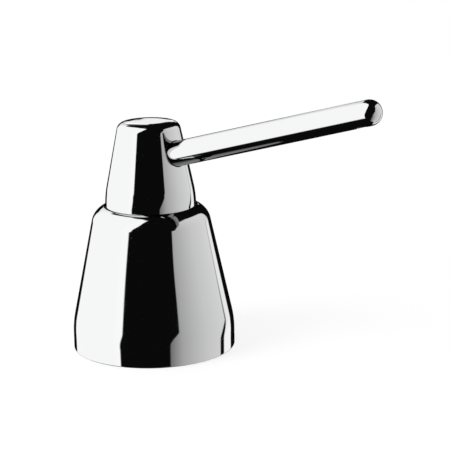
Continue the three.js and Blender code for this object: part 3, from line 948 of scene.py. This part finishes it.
# %% [markdown]
# The dip tube reaches to the bottom of the bottle. Its end is cut to a notch, so that it can't seal itself
# against the floor. The stem, the piston and the piston's lipped seal are turned, and so are the two balls.

# %% Dip tube, stem, piston, seal and balls
TUBE_RADIUS = 3.2
TUBE_BORE = 2.2
TUBE_TOP = -23.4
TUBE_BOTTOM = -202.6
STEM_TOP = 59.9
STEM_SEAT = 55.1
STEM_BORE = 1.4
VALVE_RADIUS = 2.4
PISTON_BOTTOM = 17.8
PISTON_TOP = 27.8
PISTON_RADIUS = 5.4
PISTON_WAIST = 4.4
LIP_RADIUS = 5.85
SEAL_WAIST = 5.35
SEAL_BORE = 4.55
BALL_QUALITY = (48, math.radians(6))


def dip_tube():
    tube = turned("suction_tube", [
        (TUBE_BORE, TUBE_BOTTOM),
        (TUBE_RADIUS, TUBE_BOTTOM),
        (TUBE_RADIUS, TUBE_TOP, 0.15),
        (TUBE_BORE, TUBE_TOP, 0.15),
    ], PLAIN)
    notch = place(block((5, 12.8, 5), (0, 0, 0)), (0, 0, TUBE_BOTTOM), (0, math.pi / 4, 0))
    return smooth(cut(tube, notch))


def ball(name, radius, height):
    reach = radius * NEARLY
    return turned(name, [
        (0, height - radius),
        (radius, height - radius, reach),
        (radius, height + radius, reach),
        (0, height + radius),
    ], BALL_QUALITY)


suction_tube = finish_piece(dip_tube(), "pump", "clear_plastic", "dip_tube")

finish_piece(turned("stem", [
    (STEM_BORE, 19.7),
    (TUBE_RADIUS, 19.7, 0.2),
    (TUBE_RADIUS, STEM_TOP, 0.2),
    (VALVE_RADIUS, STEM_TOP, 0.1),
    (VALVE_RADIUS, STEM_SEAT, 0.2),
    (STEM_BORE, STEM_SEAT, 0.2),
]), "plunger", "white_plastic", "pump_stem")

finish_piece(turned("piston_body", [
    (STEM_BORE, PISTON_BOTTOM),
    (PISTON_RADIUS, PISTON_BOTTOM, 0.3),
    (PISTON_RADIUS, 19.3, 0.2),
    (PISTON_WAIST, 19.3),
    (PISTON_WAIST, 26.3),
    (PISTON_RADIUS, 26.3, 0.2),
    (PISTON_RADIUS, PISTON_TOP, 0.3),
    (SOCKET_RADIUS, PISTON_TOP, 0.2),
    (SOCKET_RADIUS, 19.4),
    (STEM_BORE, 19.4),
]), "plunger", "white_plastic", "piston")

finish_piece(turned("lipped_seal", [
    (SEAL_BORE, 19.6),
    (LIP_RADIUS, 19.6, 0.2),
    (LIP_RADIUS, 20.4, 0.2),
    (SEAL_WAIST, 21.2, 0.4),
    (SEAL_WAIST, 24.4, 0.4),
    (LIP_RADIUS, 25.2, 0.2),
    (LIP_RADIUS, 26.0, 0.2),
    (SEAL_BORE, 26.0),
]), "plunger", "black_rubber", "piston_seal")

finish_piece(ball("lower_ball", radius=2.2, height=-19.29), "inlet_valve", "steel", "inlet_ball")
finish_piece(ball("upper_ball", radius=1.9, height=56.6845), "outlet_valve", "steel", "outlet_ball")

# %% [markdown]
# The core inside the head is a moulding with ribs and slanted passages, and it is hardly seen. Its packed
# solid has the right shape already, so a copy of it is refined: doubles merged, flat fans of triangles
# dissolved into whole faces, and edges softened. The liner and the outlet's nozzle lie in the spout.

# %% Head core, liner and nozzle
LINER_BORE = 1.9
LINER_RADIUS = 2.8
LINER_START = 4.47
LINER_END = 91.2
NOZZLE_BORE = 1.1
NOZZLE_RADIUS = 1.7


def refined(node, name, width):
    """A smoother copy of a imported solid."""
    piece = add_object(name, frame["nodes"][node].data.copy())
    piece.data.name = name
    piece.data.materials.clear()
    pick(piece)
    set_mode("EDIT")
    merge_doubles(2 * TOUCH)
    bpy.ops.mesh.dissolve_limited(angle_limit=math.radians(2))
    return soften(piece, width)


def spout_liner():
    liner = turned("liner", [
        (LINER_BORE, LINER_START),
        (LINER_RADIUS, LINER_START, 0.2),
        (LINER_RADIUS, LINER_END, 0.4),
        (0, LINER_END),
        (0, LINER_END - 1),
        (LINER_BORE, LINER_END - 1),
    ], PLAIN)
    return along_spout(smooth(cut(liner, outlet_hole())))


def outlet_nozzle():
    nozzle = turned("nozzle", [
        (NOZZLE_BORE, LINER_BORE),
        (NOZZLE_RADIUS, LINER_BORE),
        (NOZZLE_RADIUS, 3.9, 0.2),
        (NOZZLE_BORE, 3.9, 0.2),
    ], PLAIN)
    return along_spout(at_outlet(nozzle))


finish_piece(refined("head_core", "core", 0.12), "head", "white_plastic", "head_core")
finish_piece(spout_liner(), "head", "white_plastic", "spout_liner")
finish_piece(outlet_nozzle(), "head", "grey_plastic", "outlet_nozzle")

# %% [markdown]
# Materials are graphs of nodes. To write them as plain sums, a small class wraps a node's output and turns
# Python's operators into Math nodes. Every other node comes from one method, which takes the node's type,
# its settings, and the values or links of its inputs.

# %% Shader maths


class Socket:
    """One output of a node, which Python's arithmetic works on."""

    def __init__(self, tree, socket):
        self.tree = tree
        self.socket = socket

    def math(self, operation, *others):
        return self.tree.node("Math", {"operation": operation}, (self, *others))

    def __add__(self, other):
        return self.math("ADD", other)

    def __mul__(self, other):
        return self.math("MULTIPLY", other)

    def __sub__(self, other):
        return self.math("SUBTRACT", other)

    def __rsub__(self, other):
        return self.tree.node("Math", {"operation": "SUBTRACT"}, (other, self))

    __radd__ = __add__
    __rmul__ = __mul__

    def beside(self, key):
        """Another output of the same node."""
        return Socket(self.tree, self.socket.node.outputs[key])

    def rise(self, low, high):
        """0 below low and 1 above high, with a smooth step between them."""
        settings = {"interpolation_type": "SMOOTHSTEP"}
        return self.tree.node("MapRange", settings, {"Value": self, "From Min": low, "From Max": high})


class Shader:
    """A node tree that grows by one call for each node."""

    def __init__(self, owner):
        owner.use_nodes = True
        self.nodes = owner.node_tree.nodes
        self.links = owner.node_tree.links
        self.nodes.clear()

    def node(self, kind, settings=None, inputs=(), output=0):
        made = self.nodes.new("ShaderNode" + kind)
        for name, value in (settings or {}).items():
            if name == "stops":
                self.set_stops(made.color_ramp, value)
            else:
                setattr(made, name, value)
        for key, value in inputs.items() if isinstance(inputs, dict) else enumerate(inputs):
            if isinstance(value, Socket):
                self.links.new(value.socket, made.inputs[key])
            else:
                made.inputs[key].default_value = value
        return Socket(self, made.outputs[output])

    def set_stops(self, ramp, stops):
        """The grey stops of a ramp, as (position, level)."""
        while len(ramp.elements) < len(stops):
            ramp.elements.new(1.0)
        for element, (position, level) in zip(ramp.elements, stops):
            element.position = position
            element.color = (level, level, level, 1)

    def noise(self, vector, scale, detail=3.0, roughness=0.5):
        inputs = {"Vector": vector, "Scale": scale, "Detail": detail, "Roughness": roughness}
        return self.node("TexNoise", {}, inputs, "Fac")

    def mix(self, factor, first, second):
        """A mix of two colours, which are inputs 6 and 7 of a Mix node. Output 2 is the mixed colour."""
        inputs = {"Factor": factor, 6: first, 7: second}
        return self.node("Mix", {"data_type": "RGBA"}, inputs, 2)

    def place(self):
        """Object coordinates, in metres, which are the frame's own."""
        return self.node("TexCoord", output="Object")

    def output(self, surface, kind="OutputMaterial"):
        end = self.nodes.new("ShaderNode" + kind)
        self.links.new(surface.socket, end.inputs["Surface"])


def surface(name, flat, varying):
    """A Principled material: flat holds plain values, and varying makes the others in the tree."""
    material = bpy.data.materials.new(name)
    tree = Shader(material)
    tree.output(tree.node("BsdfPrincipled", {}, {**flat, **varying(tree)}, "BSDF"))
    return material


print("ready:", [helper.__name__ for helper in (Socket, Shader, surface)])

# %% [markdown]
# Chrome plate is a mirror with a faint blue-grey tint. What keeps it from looking computed is small: a trace
# of haze that comes and goes over a centimetre or two, where it was wiped, and hairlines from polishing that
# run round the turned form.

# %% Chrome
CHROME_TINT = (0.937, 0.94, 0.943, 1)
HAIRLINE_SCALE = (30, 30, 2600)


def polish(tree):
    here = tree.place()
    haze = tree.noise(here, 70.0, 4.0)
    stretched = tree.node("Mapping", {}, {"Vector": here, "Scale": HAIRLINE_SCALE})
    hairlines = tree.noise(stretched, 1.0, 2.0)
    bump = tree.node("Bump", {}, {"Strength": 0.02, "Distance": 0.00001, "Height": hairlines})
    return {"Roughness": 0.022 + 0.03 * haze.rise(0.35, 0.75) + 0.012 * hairlines, "Normal": bump}


chrome = surface("polished_chrome", {"Base Color": CHROME_TINT, "Metallic": 1.0}, polish)

# %% [markdown]
# Steel here is stamped or drawn, not plated. The slip ring was brushed while it turned, so its lines run
# round the axis: noise on the distance from the axis and the height alone gives exactly that. The spring and
# the balls take the same steel, since at their size only the colour and the sheen count.

# %% Steel
STEEL_TINT = (0.62, 0.63, 0.64, 1)
STEEL_SHADE = (0.5, 0.51, 0.52, 1)


def brushed(tree):
    here = tree.place()
    parts = tree.node("SeparateXYZ", {}, [here])
    x, y, height = (parts.beside(axis) for axis in "XYZ")
    radius = (x * x + y * y).math("SQRT")
    lines = tree.noise(tree.node("CombineXYZ", {}, [radius, height, 0.0]), 2200.0, 2.0)
    cloud = tree.noise(here, 120.0)
    bump = tree.node("Bump", {}, {"Strength": 0.25, "Distance": 0.00003, "Height": lines})
    return {
        "Base Color": tree.mix(cloud.rise(0.3, 0.7), STEEL_SHADE, STEEL_TINT),
        "Roughness": 0.22 + 0.16 * lines,
        "Normal": bump,
    }


steel = surface("brushed_steel", {"Metallic": 1.0}, brushed)

# %% [markdown]
# Rubber is nearly black and dull, with the fine grain of its mould and a grey bloom in places. Moulded
# plastic has a softer version of the same: a grain a tenth of a millimetre wide, and a colour that drifts by
# a few per cent where the melt flowed. One function makes all of them from a few numbers.

# %% Rubber and plastics


def moulded(shade, tint, roughness, spread, grain_scale, grain_height):
    def build(tree):
        here = tree.place()
        drift = tree.noise(here, 60.0, 3.0)
        grain = tree.noise(here, grain_scale, 3.0, 0.6)
        bump = tree.node("Bump", {}, {"Strength": 0.5, "Distance": grain_height * MM, "Height": grain})
        return {
            "Base Color": tree.mix(drift.rise(0.3, 0.7), (*shade, 1), (*tint, 1)),
            "Roughness": roughness + spread * (drift + grain - 1.0),
            "Normal": bump,
        }
    return build


rubber = surface("black_rubber", {"IOR": 1.5},
                 moulded((0.022, 0.022, 0.024), (0.034, 0.034, 0.036), 0.72, 0.12, 1800.0, 0.03))
grey_plastic = surface("grey_plastic", {"IOR": 1.47},
                       moulded((0.040, 0.042, 0.045), (0.052, 0.054, 0.058), 0.45, 0.10, 3000.0, 0.012))
white_plastic = surface("white_plastic", {"IOR": 1.47, "Subsurface Weight": 0.08, "Subsurface Scale": 0.001},
                        moulded((0.74, 0.74, 0.71), (0.80, 0.80, 0.775), 0.40, 0.08, 3000.0, 0.008))

# %% [markdown]
# The bottle and the dip tube are of natural polythene: milky, so that one sees what is behind them without
# seeing it sharply. A low alpha does this well for a thin wall. The wall is never quite even, so the alpha
# drifts slowly over the surface.

# %% Milky plastic
MILK_SHADE = (0.70, 0.74, 0.72, 1)
MILK_TINT = (0.80, 0.83, 0.81, 1)


def milky(tree):
    here = tree.place()
    wall = tree.noise(here, 28.0, 2.0)
    grain = tree.noise(here, 900.0, 2.0)
    bump = tree.node("Bump", {}, {"Strength": 0.3, "Distance": 0.00005, "Height": wall + 0.1 * grain})
    return {
        "Base Color": tree.mix(wall.rise(0.3, 0.7), MILK_SHADE, MILK_TINT),
        "Roughness": 0.26 + 0.12 * grain,
        "Alpha": 0.34 + 0.14 * wall,
        "Normal": bump,
    }


milky_plastic = surface("milky_plastic", {"IOR": 1.51}, milky)

finishes = {
    "chrome": chrome,
    "steel": steel,
    "black_rubber": rubber,
    "grey_plastic": grey_plastic,
    "white_plastic": white_plastic,
    "clear_plastic": milky_plastic,
}
for piece in pieces:
    piece.data.materials.clear()
    piece.data.materials.append(finishes[piece["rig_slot"]])
print("finishes:", sorted(finishes))

# %% [markdown]
# The deck is a round piece of worktop, 12 mm thick, with the 35 mm hole that the shank goes through. It is
# small enough that the fixings and the bottle below it can be seen from the side. It is part of the studio
# and not of the dispenser. Its white comes in part from its own colour and in part from Is Camera Ray, so
# that the background stays white and the dispenser's shadow still falls on it. Chrome mirrors the studio's
# floor instead of this small disc, so the disc and what hangs below it are hidden from glossy rays.

# %% Deck
DECK_RADIUS = 125
DECK_HOLE = 17.5
DECK_TOP = -0.05
DECK_BOTTOM = -11.95
DECK_GLOW = 0.62
GLOW_STRENGTH = 1.22
SPECKLE_SHADE = (0.84, 0.84, 0.84, 1)
SPECKLE_TINT = (0.88, 0.88, 0.88, 1)
DECK_QUALITY = (128, math.radians(15))

deck = turned("deck", [
    (DECK_HOLE, DECK_BOTTOM),
    (DECK_RADIUS, DECK_BOTTOM, 1.5),
    (DECK_RADIUS, DECK_TOP, 1.5),
    (DECK_HOLE, DECK_TOP),
], DECK_QUALITY)
below_deck = (shank, washer, slip_ring, nut, bottle, bottle_gasket, cylinder, suction_tube)
for hidden in (deck, *below_deck):
    hidden.visible_glossy = False


def worktop():
    material = bpy.data.materials.new("worktop")
    tree = Shader(material)
    seen = tree.node("LightPath", output="Is Camera Ray")
    speckle = tree.noise(tree.place(), 900.0, 2.0)
    colour = tree.mix(speckle, SPECKLE_SHADE, SPECKLE_TINT)
    lit = tree.node("BsdfDiffuse", {}, {"Color": colour})
    glow = tree.node("Emission", {}, {"Color": (1, 1, 1, 1), "Strength": GLOW_STRENGTH})
    tree.output(tree.node("MixShader", {}, [DECK_GLOW * seen, lit, glow]))
    return material


deck.data.materials.append(worktop())
print("deck:", len(deck.data.polygons), "faces")

# %% [markdown]
# Chrome shows nothing of its own, only the studio around it, so the studio is what has to be modelled. The
# world does it: for rays that left a glossy surface it is a ring of white and grey screens with black gaps
# between them, given in degrees of azimuth and elevation. Azimuth is counted from the camera's side,
# positive to the right. What chrome shows of chrome is darker: the chrome's tint takes a little light at
# each reflection, and the world adds a painted shade to what is seen after two reflections, from a third at
# the left to two thirds at the right.
# Seen directly, or through the bottle, the world is plain white, and it lights everything evenly.

# %% World
WHITE = 1.0
BLACK = 0.003
PLAIN_LIGHT = 0.62
BACK_GREY = 0.9
SECOND_REFLECTION_SHADE = 0.33
SCREEN_EDGE = 2.5
BACK_EDGE = 0.4
LEFT_BOTTOM = -38.5
RIGHT_BOTTOM = -66.0
RIGHT_TOP = 48.0
RIGHT_END = 141
END_BEND = 0.042
END_BEND_START = 16
GREYS_START = 20
GREYS_SPAN = 100
DEGREES = 180 / math.pi
RIGHT_GREYS = [(0.0, 0.13), (0.08, 0.23), (0.20, 0.38), (0.40, 0.49), (0.60, 0.58), (1.0, 0.68)]


def drifting(value, start, *changes):
    """start, and each change (amount, low, high) added to it while the value rises from low to high."""
    for amount, low, high in changes:
        start = start + amount * value.rise(low, high)
    return start


def between(value, low, high, edge=1.0):
    """1 between low and high and 0 outside, with soft edges."""
    return value.rise(low - edge, low + edge) * (1 - value.rise(high - edge, high + edge))


def studio_level(tree, second):
    """How bright the studio is in each direction, as glossy surfaces see it."""
    around_axis = {"rotation_type": "Z_AXIS"}
    direction = tree.node("TexCoord", output="Generated")
    turned_back = tree.node("VectorRotate", around_axis, {"Vector": direction, "Angle": -CAMERA_AZIMUTH})
    parts = tree.node("SeparateXYZ", {}, [turned_back])
    x, y, z = (parts.beside(axis) for axis in "XYZ")
    azimuth = x.math("ARCTAN2", 0 - y) * DEGREES
    elevation = z.math("ARCSINE") * DEGREES
    away = azimuth.math("ABSOLUTE")

    # The white screen on the left, whose top falls towards the back.
    left_end = drifting(elevation, -148.0, (-8, -10, -3), (-34, 11, 14))
    gap_left = drifting(elevation, -50.0, (4, -12, 2), (6, 5, 16), (10, 16, 60))
    left_top = drifting(away, 82.0, (-14, 104, 134), (-30, 134, 150), (-5, 150, 165), (-17, 166, 178))
    left_screen = between(azimuth, left_end, gap_left)
    left_screen = left_screen * between(elevation, LEFT_BOTTOM, left_top, SCREEN_EDGE)
    left_screen = left_screen * drifting(away, 0.995, (-0.02, 54, 62), (-0.42, 146, 184))

    # The grey screen on the right, which brightens outwards up to a dark seam and is pale beyond it.
    above = (elevation - END_BEND_START).math("MAXIMUM", 0.0)
    gap_right = drifting(elevation, 12.0, (10, -40, -20), (14, -10, 6), (12, 7, 15), (24, 15, 52))
    right_end = RIGHT_END - END_BEND * (above * above)
    grey = tree.node("ValToRGB", {"stops": RIGHT_GREYS}, [(azimuth - GREYS_START) * (1 / GREYS_SPAN)])
    seam = drifting(elevation, 113.0, (11, -16, -5), (5, -6, -1))
    seam_depth = drifting(elevation, 1.0, (-0.65, -11, -1), (-0.35, -1, 5))
    seam_half = drifting(elevation, 4.6, (-3.2, -12, -4))
    grey = grey * (1 - seam_depth * between(azimuth, seam - seam_half, seam + seam_half))
    pale = drifting(elevation, 0.93, (-0.09, -16, -6), (-0.16, -6, 2))
    right_screen = grey + azimuth.rise(seam + seam_half, seam + seam_half + 2) * (pale - grey)
    right_screen = right_screen * between(azimuth, gap_right, right_end)
    right_screen = right_screen * between(elevation, RIGHT_BOTTOM, RIGHT_TOP, SCREEN_EDGE)

    # The low strip behind, which the flat top of the head mirrors. Its lower edge is raised from -180 to 0
    # degrees only, and has the same height on both sides of the step from 180 to -180.
    back_bottom = drifting(azimuth, 7.8, (1.6, -180, -179.5), (-1.6, -10, 10))
    back_top = drifting(azimuth, 14.0, (-2, -10, 10))
    back_wall = between(away, 177 - 9 * azimuth.rise(-10, 10), 190.0) * BACK_GREY
    back_wall = back_wall * between(elevation, back_bottom, back_top, BACK_EDGE)

    once = BLACK + left_screen + right_screen + back_wall
    # Painted shade: what glossy rays see after two reflections is darker, by a third at the left and two
    # thirds at the right.
    return once * (1 - drifting(azimuth, SECOND_REFLECTION_SHADE, (SECOND_REFLECTION_SHADE, -40, 40)) * second)


def make_world():
    world = bpy.data.worlds.new("studio")
    bpy.context.scene.world = world
    world.cycles.sampling_method = "NONE"
    tree = Shader(world)
    ray = tree.node("LightPath", output="Is Camera Ray")
    direct = ray + ray.beside("Is Transmission Ray")
    glossy = ray.beside("Is Glossy Ray")
    twice = ray.beside("Glossy Depth").rise(1, 2)
    level = direct * WHITE + glossy * studio_level(tree, twice) + (1 - direct - glossy) * PLAIN_LIGHT
    tree.output(tree.node("Background", {}, {"Color": level}), "OutputWorld")


make_world()
print("world:", len(bpy.context.scene.world.node_tree.nodes), "nodes")

# %% [markdown]
# Two wide area lamps add a soft direction to the even light, so that plastics and rubber show their form.
# Glossy surfaces don't see them, because the screens above already are what chrome reflects.

# %% Lamps
LAMP_SIZE = 0.9


def add_lamp(name, stand, target, watts):
    data = bpy.data.lights.new(name, "AREA")
    data.shape = "DISK"
    data.size = LAMP_SIZE
    data.energy = watts
    lamp = add_object(name, data)
    lamp.location = stand
    lamp.rotation_euler = (Vector(target) - Vector(stand)).to_track_quat("-Z", "Y").to_euler()
    lamp.visible_glossy = False


add_lamp("key_lamp", stand=(-0.5, -1.1, 1.0), target=(0, 0, 0), watts=9.0)
add_lamp("low_lamp", stand=(0.9, 0.4, -0.6), target=(0, 0, -0.12), watts=5.0)

# %% [markdown]
# Last, the picture's own settings.

# %% Finish
bpy.context.scene.view_settings.view_transform = "Standard"
